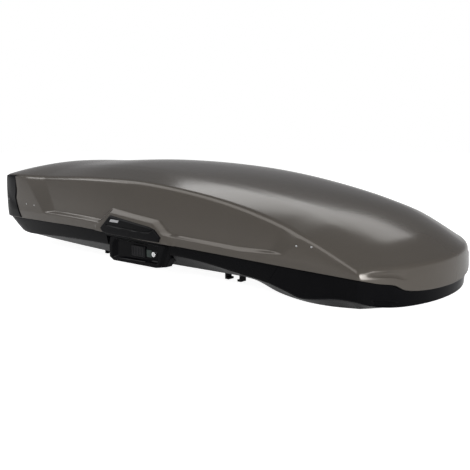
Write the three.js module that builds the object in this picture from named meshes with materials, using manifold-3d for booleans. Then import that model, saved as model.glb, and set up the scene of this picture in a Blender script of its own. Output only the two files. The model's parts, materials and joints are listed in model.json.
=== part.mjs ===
// Roof cargo box with a lid that opens from either side, in millimetres.
// +X is the nose (front), -Y the near side, +Z up.
// Origin: middle of the length, on the centre plane, at the lowest point of the chin.
import * as THREE from 'three';
import * as BufferGeometryUtils from 'three/addons/utils/BufferGeometryUtils.js';
import Module from 'manifold-3d';

const wasm = await Module();
wasm.setup();

// ---------------------------------------------------------------- driving dimensions
const GAP = 0.3;               // between touching pieces
const PART_Z = 124;            // height of the parting line amidships
const TAIL_X = -952;           // rear end of the shoulder ridge
const CORNER_X = 844;          // front corner of the shoulder ridge
const NOSE_BOW = 108;          // how far the nose bows ahead of its corners
const NOSE_POWER = 2.11;       // fullness of the nose in plan
const TAIL_BOW = 8;            // how far the tail bows behind its corners
const TAIL_RAKE = 52;          // the tail's parting line lies this far ahead of its ridge
const TAIL_LENGTH = 420;       // the tail's bow and rake fade out over this length
const SIDE_LEAN = 0.154;       // lid sides lean in by this much for each unit of height
const LID_WALL = 4;
const SEAM = 1;                // half of the visible joint between lid and base
const BASE_WALL = 3.5;
const SKIRT_WALL = 3;
const SKIRT_INSET = 6;         // skirts stand this far inside the lid's rim
const SKIRT_LEAN = 0.2;
const SKIRT_ENDS = 0.4;        // half of the gap between neighbouring skirts
const REAR_JOINT = -770;       // where the side skirts meet the tail skirt
const FRONT_JOINT = 590;       // and the nose skirt
const TUB_INSET = SKIRT_INSET + SKIRT_WALL + 1.4;
const FLOOR_Z = 42;            // underside of the flat floor
const FLOOR_FRONT = 430;       // the chin starts here
const FLOOR_REAR = -750;
const FLOOR_HALF = 300;        // half width of the floor panel
const CHAMFER_INSET = 62;      // the floor's edge, inside the lid's rim

const HINGE_Y = 345;           // the two hinge axes lie at y = -HINGE_Y and +HINGE_Y
const HINGE_Z = PART_Z - 20;
const ROD_R = 4;
const HOLE_CLEARANCE = 0.35;
const HOOK_XS = [-400, 360];
const HOOK_NAMES = ['rear', 'front'];
const LIFTER_XS = { front: 440, rear: -560 };
const LIFTER_RISE = 45;        // pivots lie this far above and below the hinge axes
const CLAMP_XS = { front: 354, rear: -280 };
const CLAMP_Y = 268;
const SIDES = { near: -1, far: 1 };
const HOOK_HALF = 12;
const ARM_R = 8;
const PIN_R = 3.5;
const PIN_CLEARANCE = 0.7;
const SEAL_INSET = 7.8;
const SEAL_WIDTH = 5;
const SEAL_LOW = -0.6;         // the seal's underside and top, from the parting line
const SEAL_TOP = 4;
const MAT_X = [-510, 395];
const MAT_HALF = 228;
const MAT_CORNER = 40;
const MAT_THICKNESS = 4;
const RIB_THICKNESS = 9;
const RIB_HALF = 22;
const RIB_XS = [-300, 60];
const COVER_WALL = 2.5;
const HANDLE_WALL = 12;
// Outline of a handle, as x and height above the parting line.
const HANDLE_OUTLINE = [[-166, 20], [-114, 68], [85, 49], [115, 42], [144, 19], [136, 12],
  [-150, 12]];

// Clamps
const JAW_X = 31;              // claw centres lie this far either side of the clamp's centre
const JAW_TRAVEL = 9;
const JAW_T = 7;
const JAW_W = 26;
const JAW_FOOT = 9;            // the claw's toe reaches this far under the bar
const JAW_LOW = 12;            // underside of the claws
const CLAMP_LENGTH = 108;
const CLAMP_WIDTH = 64;
const CLAMP_HEIGHT = 20;
const KNOB_R = 22;
const KNOB_HEIGHT = 16;

// Locks
const LOCK_X0 = -116;
const LOCK_X1 = 168;
const LOCK_FACE_Y = 386;
const LOCK_TOP_Z = 115;
const LOCK_SHELF_Z = 61;       // below this the lock stands outside the tub's wall
const LOCK_TRAVEL = 20;
// Outline of the lock's front in the XZ plane.
const LOCK_OUTLINE = [[LOCK_X0, LOCK_TOP_Z], [LOCK_X0, 36], [LOCK_X0 + 20, 26], [100, 32],
  [146, 40], [LOCK_X1, 72], [LOCK_X1, LOCK_TOP_Z]];
const POCKET = [[-96, 104], [-98, 46], [-78, 38], [108, 44], [112, 108], [-60, 108]];
const POCKET_DEPTH = 10;
const SLIDER_X = [-26, 40];
const KEY_AT = [88, 76];

// Curves along the length, as [x, value] at a few stations.
const HALF_WIDTH = [[-952, 334], [-925, 354], [-840, 368], [-589, 386], [-267, 400], [56, 402],
  [378, 375], [665, 359], [844, 336]];
const PART_HEIGHT = [[-952, -12], [-840, -9], [-589, -2], [-267, 5], [56, -1], [378, -10],
  [665, -16], [844, -23]];
const RIDGE_HEIGHT = [[-952, 162], [-840, 168], [-589, 174], [-267, 188], [56, 188], [378, 151],
  [665, 82], [844, 6]];
const CROWN_HEIGHT = [[-966, 196], [-840, 214], [-589, 223], [-267, 237], [56, 224], [378, 190],
  [665, 137], [844, 72], [952, 6]];
const SKIRT_DEPTH = [[-952, 52], [-752, 62], [-477, 54], [-165, 46], [169, 34], [292, 36],
  [439, 50], [548, 61], [613, 76], [666, 88], [785, 68], [844, 66]];
const CHIN_Z = [[430, 42], [480, 37], [560, 14], [650, 2.4], [740, 0.4], [844, 6]];
const NOSE_DIP = [[0, 51], [0.4, 47], [0.62, 38], [0.72, 21], [0.86, 12], [1, 0]];

// ---------------------------------------------------------------- maths helpers
// Smooth curve through [x, value] points, with slopes taken from the neighbours.
function curve(points) {
  const slope = (i) => {
    const a = points[Math.max(i - 1, 0)];
    const b = points[Math.min(i + 1, points.length - 1)];
    return (b[1] - a[1]) / (b[0] - a[0]);
  };
  return (x) => {
    let i = 0;
    while (i < points.length - 2 && x > points[i + 1][0]) i += 1;
    const [x0, y0] = points[i];
    const [x1, y1] = points[i + 1];
    const h = x1 - x0;
    const t = Math.min(Math.max((x - x0) / h, 0), 1);
    const rise = t * t * (3 - 2 * t);
    return y0 + (y1 - y0) * rise
      + h * t * (1 - t) * (slope(i) * (1 - t) - slope(i + 1) * t);
  };
}

const halfWidth = curve(HALF_WIDTH);
const partHeight = curve(PART_HEIGHT);
const ridgeHeight = curve(RIDGE_HEIGHT);
const crownHeight = curve(CROWN_HEIGHT);
const skirtDepth = curve(SKIRT_DEPTH);
const chinZ = curve(CHIN_Z);
const noseDip = curve(NOSE_DIP);

// A place on the body is (s, v): s runs along the side from tail to front corner in
// millimetres, v across from -1 (near) to +1 (far).
const bowAt = (s) => NOSE_BOW * Math.max(0, (s - 350) / (CORNER_X - 350)) ** 2;
const tailFade = (s) => Math.max(0, 1 - (s - TAIL_X) / TAIL_LENGTH) ** 2;
const noseFade = (s) => Math.max(0, (s - 500) / (CORNER_X - 500)) ** 2;

function planX(s, v, tailShift, noseShift) {
  const bow = bowAt(s) * (1 - Math.abs(v) ** NOSE_POWER);
  const tailBow = TAIL_BOW * tailFade(s) * (1 - v * v);
  return s + bow - tailBow + tailShift * tailFade(s) + noseShift * noseFade(s);
}

// Height of the parting line: along the sides it follows its curve, and at the nose the
// lid dips to cover the front of the base.
function partZ(s, v) {
  const front = s >= CORNER_X - 1e-6 ? 1 : 0;
  return PART_Z + partHeight(s) - front * noseDip(Math.abs(v));
}

// ---------------------------------------------------------------- mesh helpers
function solidFrom(vertices, faces) {
  const geometry = new THREE.BufferGeometry();
  geometry.setAttribute('position', new THREE.Float32BufferAttribute(vertices.flat(), 3));
  geometry.setIndex(faces.flat());
  return BufferGeometryUtils.mergeVertices(geometry, 1e-4);
}

function toManifold(geometry) {
  const bare = geometry.clone();
  bare.deleteAttribute('normal');
  bare.deleteAttribute('uv');
  const merged = BufferGeometryUtils.mergeVertices(bare, 1e-4);
  return new wasm.Manifold(new wasm.Mesh({
    numProp: 3,
    vertProperties: new Float32Array(merged.attributes.position.array),
    triVerts: new Uint32Array(merged.index.array),
  }));
}

function fromManifold(solid) {
  const mesh = solid.getMesh();
  const geometry = new THREE.BufferGeometry();
  geometry.setAttribute('position', new THREE.BufferAttribute(mesh.vertProperties, 3));
  geometry.setIndex(new THREE.BufferAttribute(mesh.triVerts, 1));
  return geometry;
}

const join = (...geometries) => fromManifold(
  geometries.map(toManifold).reduce((a, b) => a.add(b)));
const cut = (geometry, ...tools) => fromManifold(
  tools.map(toManifold).reduce((a, b) => a.subtract(b), toManifold(geometry)));
const common = (a, b) => fromManifold(toManifold(a).intersect(toManifold(b)));

// A box given by its lowest and highest corners.
function block(low, high) {
  const geometry = new THREE.BoxGeometry(high[0] - low[0], high[1] - low[1], high[2] - low[2]);
  geometry.translate((low[0] + high[0]) / 2, (low[1] + high[1]) / 2, (low[2] + high[2]) / 2);
  return geometry;
}

// The same box on either side: y is given on the far side and mirrored where side is -1.
function sideBlock(side, low, high) {
  const ys = [side * low[1], side * high[1]].sort((a, b) => a - b);
  return block([low[0], ys[0], low[2]], [high[0], ys[1], high[2]]);
}

// A round bar along X from x0 to x1.
function barX(radius, x0, x1, y, z, sides = 16) {
  const geometry = new THREE.CylinderGeometry(radius, radius, x1 - x0, sides);
  geometry.rotateZ(-Math.PI / 2);
  geometry.translate((x0 + x1) / 2, y, z);
  return geometry;
}

// A plate in the YZ plane from x0 to x1, with its outline given as [y, z] points.
function plateYZ(points, x0, x1, holes = []) {
  const rimPoints = points.map(([y, z]) => new THREE.Vector2(y, z));
  if (THREE.ShapeUtils.isClockWise(rimPoints)) rimPoints.reverse();
  const shape = new THREE.Shape(rimPoints);
  for (const [y, z, radius] of holes) {
    const rim = [];
    for (let k = 0; k < 16; k += 1) {
      const angle = -Math.PI * 2 * (k / 16);
      rim.push(new THREE.Vector2(y + radius * Math.cos(angle), z + radius * Math.sin(angle)));
    }
    shape.holes.push(new THREE.Path(rim));
  }
  const geometry = new THREE.ExtrudeGeometry(shape, {
    depth: x1 - x0, bevelEnabled: false,
  });
  // (shape x, shape y, depth) becomes (y, z, x)
  geometry.applyMatrix4(new THREE.Matrix4().set(
    0, 0, 1, x0,
    1, 0, 0, 0,
    0, 1, 0, 0,
    0, 0, 0, 1));
  return geometry;
}

// A plate in the XZ plane whose face looks to the given side, from depth y0 to y1.
function plateXZ(points, y0, y1) {
  const shape = new THREE.Shape(points.map(([x, z]) => new THREE.Vector2(x, z)));
  const geometry = new THREE.ExtrudeGeometry(shape, { depth: y1 - y0, bevelEnabled: false });
  // (shape x, shape y, depth) becomes (x, z, -y)
  geometry.applyMatrix4(new THREE.Matrix4().set(
    1, 0, 0, 0,
    0, 0, -1, y1,
    0, 1, 0, 0,
    0, 0, 0, 1));
  return geometry;
}

const mirrorPoints = (points, side) => points.map(([y, z]) => [side * y, z]);

// ---------------------------------------------------------------- shell of levels and a cap
// Stations along the side, closer together at the tail and at the nose.
const STATIONS = [-952, -938, -900, -840, -770, -690, -600, -480, -360, -220, -80, 60, 190,
  310, 430, 510, 590, 665, 720, 770, 810, 844];
const CROSS = [-1, -0.93, -0.86, -0.79, -0.72, -0.62, -0.45, -0.22, 0, 0.22, 0.45, 0.62, 0.72,
  0.79, 0.86, 0.93, 1];

// The closed walk round the edge of the station grid: near side, nose, far side, tail.
function edgeWalk() {
  const last = STATIONS.length - 1;
  const end = CROSS.length - 1;
  const walk = [];
  for (let i = 0; i < last; i += 1) walk.push([i, 0]);
  for (let j = 0; j < end; j += 1) walk.push([last, j]);
  for (let i = last; i > 0; i -= 1) walk.push([i, end]);
  for (let j = end; j > 0; j -= 1) walk.push([0, j]);
  return walk;
}

// One skin: rings of points, one for each level, then a cap whose edge is the last ring.
// levels and cap are functions of (s, v) that give [x, y, z].
function skin(levels, cap) {
  const walk = edgeWalk();
  const points = [];
  const rings = levels.map((level) => walk.map(([i, j]) => {
    points.push(level(STATIONS[i], CROSS[j]));
    return points.length - 1;
  }));
  const grid = STATIONS.map(() => []);
  walk.forEach(([i, j], n) => { grid[i][j] = rings[rings.length - 1][n]; });
  for (let i = 1; i < STATIONS.length - 1; i += 1) {
    for (let j = 1; j < CROSS.length - 1; j += 1) {
      points.push(cap(STATIONS[i], CROSS[j]));
      grid[i][j] = points.length - 1;
    }
  }
  return { points, rings, grid };
}

// A closed shell between an outer and an inner skin. sign is +1 where the cap is on top.
function shell(outer, inner, sign) {
  const points = [...outer.points, ...inner.points];
  const shift = outer.points.length;
  const faces = [];
  const quad = (a, b, c, d, flip) => {
    if (flip) faces.push([a, c, b], [a, d, c]);
    else faces.push([a, b, c], [a, c, d]);
  };
  [[outer, 0, sign < 0], [inner, shift, sign > 0]].forEach(([side, base, flip]) => {
    const n = side.rings[0].length;
    for (let k = 0; k < side.rings.length - 1; k += 1) {
      for (let i = 0; i < n; i += 1) {
        const j = (i + 1) % n;
        quad(base + side.rings[k][i], base + side.rings[k][j],
          base + side.rings[k + 1][j], base + side.rings[k + 1][i], flip);
      }
    }
    for (let i = 0; i < STATIONS.length - 1; i += 1) {
      for (let j = 0; j < CROSS.length - 1; j += 1) {
        quad(base + side.grid[i][j], base + side.grid[i + 1][j],
          base + side.grid[i + 1][j + 1], base + side.grid[i][j + 1], flip);
      }
    }
  });
  const n = outer.rings[0].length;
  for (let i = 0; i < n; i += 1) {
    const j = (i + 1) % n;
    quad(shift + inner.rings[0][i], shift + inner.rings[0][j], outer.rings[0][j],
      outer.rings[0][i], sign < 0);
  }
  return solidFrom(points, faces);
}

// The whole space inside one skin, closed across its first ring.
function plug({ points, rings, grid }) {
  const all = [...points, [0, 0, points[rings[0][0]][2]]];
  const hub = points.length;
  const n = rings[0].length;
  const faces = [];
  for (let i = 0; i < n; i += 1) {
    const j = (i + 1) % n;
    faces.push([hub, rings[0][j], rings[0][i]]);
    for (let k = 0; k < rings.length - 1; k += 1) {
      faces.push([rings[k][i], rings[k][j], rings[k + 1][j]]);
      faces.push([rings[k][i], rings[k + 1][j], rings[k + 1][i]]);
    }
  }
  for (let i = 0; i < STATIONS.length - 1; i += 1) {
    for (let j = 0; j < CROSS.length - 1; j += 1) {
      faces.push([grid[i][j], grid[i + 1][j], grid[i + 1][j + 1]]);
      faces.push([grid[i][j], grid[i + 1][j + 1], grid[i][j + 1]]);
    }
  }
  return solidFrom(all, faces);
}

// A curved band that follows the walk from index a to index b (which may wrap round),
// between two levels, with the given wall to the inside. Levels take (s, v, inset).
function band(walkPart, levels, wall, { closed = false, onLid = false } = {}) {
  const points = [];
  const put = (p) => {
    points.push(p);
    return points.length - 1;
  };
  const outer = levels.map((level) => walkPart.map(([s, v]) => put(level(s, v, 0))));
  const inner = levels.map((level) => walkPart.map(([s, v]) => put(level(s, v, wall))));
  const faces = [];
  // each quad is split the same way as the lid's or the tub's own, so that they nest
  const quad = (a, b, c, d) => {
    if (onLid) faces.push([a, b, c], [a, c, d]);
    else faces.push([b, c, d], [b, d, a]);
  };
  const rows = levels.length - 1;
  const count = walkPart.length;
  const end = count - 1;
  const steps = closed ? count : end;
  for (let k = 0; k < rows; k += 1) {
    for (let i = 0; i < steps; i += 1) {
      const j = (i + 1) % count;
      quad(outer[k][i], outer[k][j], outer[k + 1][j], outer[k + 1][i]);
      quad(inner[k][i], inner[k + 1][i], inner[k + 1][j], inner[k][j]);
    }
    if (!closed) {
      quad(outer[k][0], outer[k + 1][0], inner[k + 1][0], inner[k][0]);
      quad(outer[k][end], inner[k][end], inner[k + 1][end], outer[k + 1][end]);
    }
  }
  for (let i = 0; i < steps; i += 1) {
    const j = (i + 1) % count;
    quad(outer[0][i], inner[0][i], inner[0][j], outer[0][j]);
    quad(outer[rows][i], outer[rows][j], inner[rows][j], inner[rows][i]);
  }
  return solidFrom(points, faces);
}

// ---------------------------------------------------------------- surfaces of lid and base
// Lid side at height fraction f (0 rim, 1 ridge), inset by t.
function lidSide(f, t) {
  return (s, v) => {
    const rim = partZ(s, v) + SEAM;
    const ridge = PART_Z + ridgeHeight(s);
    const z = rim + (ridge - t - rim) * f;
    const swell = 3 * 4 * f * (1 - f);
    const lean = SIDE_LEAN * (z - PART_Z - partHeight(s));
    const y = v * (halfWidth(s) - Math.max(lean, 0) + swell - t);
    return [planX(s, v, TAIL_RAKE * (1 - f) + t, 8 * (1 - f) - t), y, z];
  };
}

function lidCrown(t) {
  return (s, v) => {
    const ridge = ridgeHeight(s);
    const crown = crownHeight(planX(s, 0, 0, 0));
    const z = PART_Z + ridge + (crown - ridge) * (1 - v * v) - t;
    const edge = halfWidth(s) - SIDE_LEAN * (ridge - partHeight(s)) - t;
    return [planX(s, v, t, -t), v * edge, z];
  };
}

// Base side at a depth below the parting line, inset by t from the lid's rim line.
function baseSide(depthAt, t) {
  return (s, v, wall = 0) => {
    const front = s >= CORNER_X - 1e-6;
    const top = partZ(s, v) - SEAM;
    const deep = depthAt(s);
    const low = PART_Z + partHeight(s) - SEAM - deep;
    const noseLow = PART_Z - 112;
    const share = front ? Math.min(1, deep / skirtDepth(s)) : 0;
    const drop = 1 - Math.abs(v) ** 6;
    const z = front ? Math.min(top - (top - low) * share,
      top + ((low * (1 - drop) + noseLow * drop) - top) * share) : low;
    const inset = t + wall + SKIRT_LEAN * (PART_Z + partHeight(s) - z) * (front ? 0.6 : 1);
    const rake = TAIL_RAKE + inset - SKIRT_LEAN * deep + 1.45 * deep;
    return [planX(s, v, rake, 8 - inset), v * (halfWidth(s) - inset), z];
  };
}

const floorZ = (s) => (s <= FLOOR_FRONT ? FLOOR_Z : chinZ(s));

function baseFloor(t, lift) {
  return (s, v) => {
    const inset = CHAMFER_INSET + t;
    const noseInset = 34 + t;
    return [planX(s, v, TAIL_RAKE + 128 + t, 8 - noseInset), v * (halfWidth(s) - inset),
      floorZ(s) + lift];
  };
}

// ---------------------------------------------------------------- the group and its materials
const group = new THREE.Group();
const FINISHES = {
  lid: [0x57524c, 0.35, 0.5],
  glossBlack: [0x0f0f11, 0.15, 0],
  matteBlack: [0x1e1e20, 0.6, 0],
  tub: [0x18181a, 0.5, 0],
  mat: [0x3a3b3d, 0.95, 0],
  rubber: [0x101010, 0.85, 0],
  steel: [0xb4b7ba, 0.35, 1],
  chrome: [0xd8dadd, 0.15, 1],
  accent: [0x8f1d1f, 0.5, 0],
};

function place(name, geometry, finish) {
  const [color, roughness, metalness] = FINISHES[finish];
  const material = new THREE.MeshStandardMaterial({ color, roughness, metalness });
  const mesh = new THREE.Mesh(geometry, material);
  mesh.name = name;
  group.add(mesh);
}

// ---------------------------------------------------------------- base: tub, skirts, seal, mat
const noDepth = () => 0.5;

function buildTub() {
  const outer = skin([baseSide(noDepth, TUB_INSET), baseSide(skirtDepth, TUB_INSET),
    baseFloor(0, 0)], baseFloor(0, 0));
  const inner = skin([baseSide(noDepth, TUB_INSET + BASE_WALL),
    baseSide(skirtDepth, TUB_INSET + BASE_WALL), baseFloor(BASE_WALL * 0.6, BASE_WALL)],
  baseFloor(BASE_WALL * 0.6, BASE_WALL));
  const slots = [];
  for (const x of Object.values(CLAMP_XS)) {
    for (const side of Object.values(SIDES)) {
      for (const way of [-1, 1]) {
        const inside = x + way * (JAW_X - JAW_TRAVEL - JAW_T / 2 - 1.5);
        const outside = x + way * (JAW_X + JAW_T / 2 + 1.5);
        const xs = [inside, outside].sort((a, b) => a - b);
        slots.push(sideBlock(side, [xs[0], CLAMP_Y - JAW_W / 2 - 1.5, 0],
          [xs[1], CLAMP_Y + JAW_W / 2 + 1.5, 60]));
      }
    }
  }
  const lockWindows = Object.values(SIDES).map((side) => sideBlock(side,
    [LOCK_X0 - 0.5, 350, LOCK_SHELF_Z - 0.5], [LOCK_X1 + 0.5, 420, LOCK_TOP_Z + 0.5]));
  return cut(shell(outer, inner, -1), ...slots, ...lockWindows);
}

// The tub's flat floor is a panel of its own, let into the rest of the tub.
const tub = buildTub();
const floorPanel = (gap) => block([FLOOR_REAR - gap, -FLOOR_HALF - gap, 0],
  [FLOOR_FRONT + gap, FLOOR_HALF + gap, FLOOR_Z + 20]);
place('base_tub', cut(tub, floorPanel(GAP)), 'tub');
place('tub_floor', common(tub, floorPanel(0)), 'tub');

const sideStations = STATIONS.filter((s) => s >= REAR_JOINT && s <= FRONT_JOINT);
const frontStations = STATIONS.filter((s) => s >= FRONT_JOINT);
const rearStations = STATIONS.filter((s) => s <= REAR_JOINT);

const topOfSkirt = baseSide(noDepth, SKIRT_INSET);
const footOfSkirt = baseSide(skirtDepth, SKIRT_INSET);
const skirtLevels = [footOfSkirt, topOfSkirt];

for (const [name, side] of Object.entries(SIDES)) {
  const stations = [...sideStations];
  stations[0] += SKIRT_ENDS;
  stations[stations.length - 1] -= SKIRT_ENDS;
  const walk = stations.map((s) => [s, side]);
  if (side > 0) walk.reverse();
  const recess = sideBlock(side, [LOCK_X0 - 1, 330, 0], [LOCK_X1 + 1, 420, LOCK_TOP_Z + 1]);
  place(`skirt_${name}`, cut(band(walk, skirtLevels, SKIRT_WALL), recess), 'glossBlack');
}

const noseWalk = [
  ...frontStations.slice(0, -1).map((s) => [s, -1]),
  ...CROSS.map((v) => [CORNER_X, v]),
  ...frontStations.slice(0, -1).reverse().map((s) => [s, 1]),
];
place('nose_skirt', band(noseWalk, skirtLevels, SKIRT_WALL), 'glossBlack');

const tailWalk = [
  ...rearStations.slice(1).reverse().map((s) => [s, 1]),
  ...[...CROSS].reverse().map((v) => [TAIL_X, v]),
  ...rearStations.slice(1).map((s) => [s, -1]),
];
place('tail_skirt', band(tailWalk, skirtLevels, SKIRT_WALL), 'glossBlack');

// Rubber seal on the tub's rim.
const sealLevel = (rise) => (s, v, wall) => {
  const inset = SEAL_INSET + wall;
  return [planX(s, v, TAIL_RAKE + inset, 8 - inset), v * (halfWidth(s) - inset),
    partZ(s, v) + rise];
};
const fullWalk = edgeWalk().map(([i, j]) => [STATIONS[i], CROSS[j]]);
place('rim_seal', band(fullWalk, [sealLevel(SEAL_LOW), sealLevel(SEAL_TOP)], SEAL_WIDTH,
  { closed: true }), 'rubber');

// Felt mat on the flat of the floor.
const floorTop = FLOOR_Z + BASE_WALL;
function buildMat() {
  const [x0, x1] = MAT_X;
  const [half, radius] = [MAT_HALF, MAT_CORNER];
  const shape = new THREE.Shape();
  shape.moveTo(x0 + radius, -half);
  shape.lineTo(x1 - radius, -half);
  shape.quadraticCurveTo(x1, -half, x1, -half + radius);
  shape.lineTo(x1, half - radius);
  shape.quadraticCurveTo(x1, half, x1 - radius, half);
  shape.lineTo(x0 + radius, half);
  shape.quadraticCurveTo(x0, half, x0, half - radius);
  shape.lineTo(x0, -half + radius);
  shape.quadraticCurveTo(x0, -half, x0 + radius, -half);
  const geometry = new THREE.ExtrudeGeometry(shape, {
    depth: MAT_THICKNESS, bevelEnabled: false, curveSegments: 4,
  });
  return geometry.translate(0, 0, floorTop + GAP);
}
place('floor_mat', buildMat(), 'mat');

// ---------------------------------------------------------------- hinge rods and what holds them
const tubInnerY = (x, z) => {
  const depth = PART_Z + partHeight(x) - z;
  return halfWidth(x) - TUB_INSET - BASE_WALL - SKIRT_LEAN * depth;
};

// A cradle on the base, open at the top, that the rod lifts out of.
function buildHook(x, side) {
  const wall = Math.min(tubInnerY(x - HOOK_HALF, HINGE_Z - 10),
    tubInnerY(x + HOOK_HALF, HINGE_Z - 10));
  const r = ROD_R + HOLE_CLEARANCE;
  const slot = [];
  for (let k = 0; k <= 8; k += 1) {
    const angle = Math.PI * (k / 8);
    slot.push([HINGE_Y + r * 1.02 * Math.cos(angle), HINGE_Z - r * 1.02 * Math.sin(angle)]);
  }
  const outline = [
    [HINGE_Y - 8.5, HINGE_Z - 12], [wall - 1, HINGE_Z - 12], [wall - 1, HINGE_Z - 4],
    [HINGE_Y + 8, HINGE_Z - 1], [HINGE_Y + 8, HINGE_Z + 2], [HINGE_Y + r * 1.02, HINGE_Z + 2],
    ...slot, [HINGE_Y - r * 1.02, HINGE_Z + 2], [HINGE_Y - 8.5, HINGE_Z + 2],
  ];
  return plateYZ(mirrorPoints(outline, side), x - HOOK_HALF, x + HOOK_HALF);
}

// A hanger on the lid, with the rod through its eye. It leans inboard so that it passes over
// the base's rim as the lid swings about this rod.
function lidInnerY(x, z) {
  const rise = z - PART_Z - partHeight(x);
  const share = rise / (ridgeHeight(x) - partHeight(x));
  const swell = 3 * 4 * share * (1 - share);
  return halfWidth(x) - SIDE_LEAN * rise - LID_WALL + swell;
}

function buildHanger(x, side) {
  const [x0, x1] = [x + HOOK_HALF + 2, x + HOOK_HALF + 18];
  const innerY = (z) => Math.min(lidInnerY(x0, z), lidInnerY(x1, z)) - 1.2;
  const outline = [
    [HINGE_Y - 9, HINGE_Z + 3], [HINGE_Y - 9, HINGE_Z - 3], [HINGE_Y - 5, HINGE_Z - 8],
    [HINGE_Y + 5, HINGE_Z - 8], [HINGE_Y + 9, HINGE_Z - 3], [HINGE_Y + 7.5, HINGE_Z + 3],
    [HINGE_Y - 2.5, HINGE_Z + 40], [innerY(HINGE_Z + 68), HINGE_Z + 68],
    [innerY(HINGE_Z + 94), HINGE_Z + 94], [HINGE_Y - 13, HINGE_Z + 62],
    [HINGE_Y - 14, HINGE_Z + 42],
  ];
  return plateYZ(mirrorPoints(outline, side), x0, x1,
    [[side * HINGE_Y, HINGE_Z, ROD_R + HOLE_CLEARANCE]]);
}

for (const [sideName, side] of Object.entries(SIDES)) {
  HOOK_XS.forEach((x, i) => {
    place(`hinge_cradle_${sideName}_${HOOK_NAMES[i]}`, buildHook(x, side), 'matteBlack');
    place(`lid_hanger_${sideName}_${HOOK_NAMES[i]}`, buildHanger(x, side), 'matteBlack');
  });
  place(`hinge_rod_${sideName}`,
    barX(ROD_R, HOOK_XS[0] - 40, HOOK_XS[1] + 40, side * HINGE_Y, HINGE_Z), 'steel');
}

// ---------------------------------------------------------------- lid lifters
// Each is a rhombus: base pivot, knee on one hinge axis, lid pivot, and the other hinge axis.
const ARM_SPAN = Math.hypot(HINGE_Y, LIFTER_RISE);
const LOW_Z = HINGE_Z - LIFTER_RISE;
const HIGH_Z = HINGE_Z + LIFTER_RISE;

// A straight arm from [y0, z0] to [y1, z1] in the slice x0..x1, with a hole at each end.
function buildArm(from, to, x0, x1, holes) {
  const along = [(to[0] - from[0]) / ARM_SPAN, (to[1] - from[1]) / ARM_SPAN];
  const outline = [];
  const turn = Math.atan2(along[1], along[0]);
  for (const [centre, start] of [[to, turn - Math.PI / 2], [from, turn + Math.PI / 2]]) {
    for (let k = 0; k <= 6; k += 1) {
      const angle = start + Math.PI * (k / 6);
      outline.push([centre[0] + ARM_R * Math.cos(angle), centre[1] + ARM_R * Math.sin(angle)]);
    }
  }
  return plateYZ(outline, x0, x1, holes.map(([y, z]) => [y, z, PIN_R + PIN_CLEARANCE]));
}

for (const [end, x] of Object.entries(LIFTER_XS)) {
  const base = [0, LOW_Z];
  const top = [0, HIGH_Z];
  for (const [sideName, side] of Object.entries(SIDES)) {
    const knee = [side * HINGE_Y, HINGE_Z];
    // the lower arm's slice is outside the upper arm's
    const lower = [side * 12, side * 18].sort((a, b) => a - b);
    const upper = [side * 4, side * 10].sort((a, b) => a - b);
    const lowerArm = buildArm(base, knee, x + lower[0], x + lower[1], [base]);
    const [pinLow, pinHigh] = [side * 3.5, side * 13].sort((a, b) => a - b);
    const kneePin = barX(PIN_R, x + pinLow, x + pinHigh, knee[0], knee[1], 14);
    place(`lifter_lower_arm_${end}_${sideName}`, join(lowerArm, kneePin), 'steel');
    place(`lifter_upper_arm_${end}_${sideName}`,
      buildArm(top, knee, x + upper[0], x + upper[1], [top, knee]), 'steel');
  }
  const foot = block([x - 30, -20, floorTop + GAP], [x + 30, 20, floorTop + 3.3]);
  const ears = [-1, 1].map((way) => {
    const xs = [x + way * 19, x + way * 24].sort((a, b) => a - b);
    return plateYZ([[-15, floorTop + 2], [15, floorTop + 2], [7, LOW_Z + 8], [-7, LOW_Z + 8]],
      xs[0], xs[1]);
  });
  place(`lifter_base_bracket_${end}`,
    join(foot, ...ears, barX(PIN_R, x - 21, x + 21, 0, LOW_Z, 14)), 'matteBlack');
  const ceiling = PART_Z + Math.min(crownHeight(x - 20), crownHeight(x + 20)) - LID_WALL - 2.5;
  const post = block([x - 16, -9, HIGH_Z + 14], [x + 16, 9, ceiling]);
  const plate = block([x - 20, -35, ceiling - 5], [x + 20, 35, ceiling]);
  const cheeks = [-1, 1].map((way) => {
    const xs = [x + way * 11, x + way * 16].sort((a, b) => a - b);
    return block([xs[0], -9, HIGH_Z - 8], [xs[1], 9, HIGH_Z + 16]);
  });
  place(`lifter_lid_bracket_${end}`,
    join(post, plate, ...cheeks, barX(PIN_R, x - 13, x + 13, 0, HIGH_Z, 14)), 'matteBlack');
}

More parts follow.
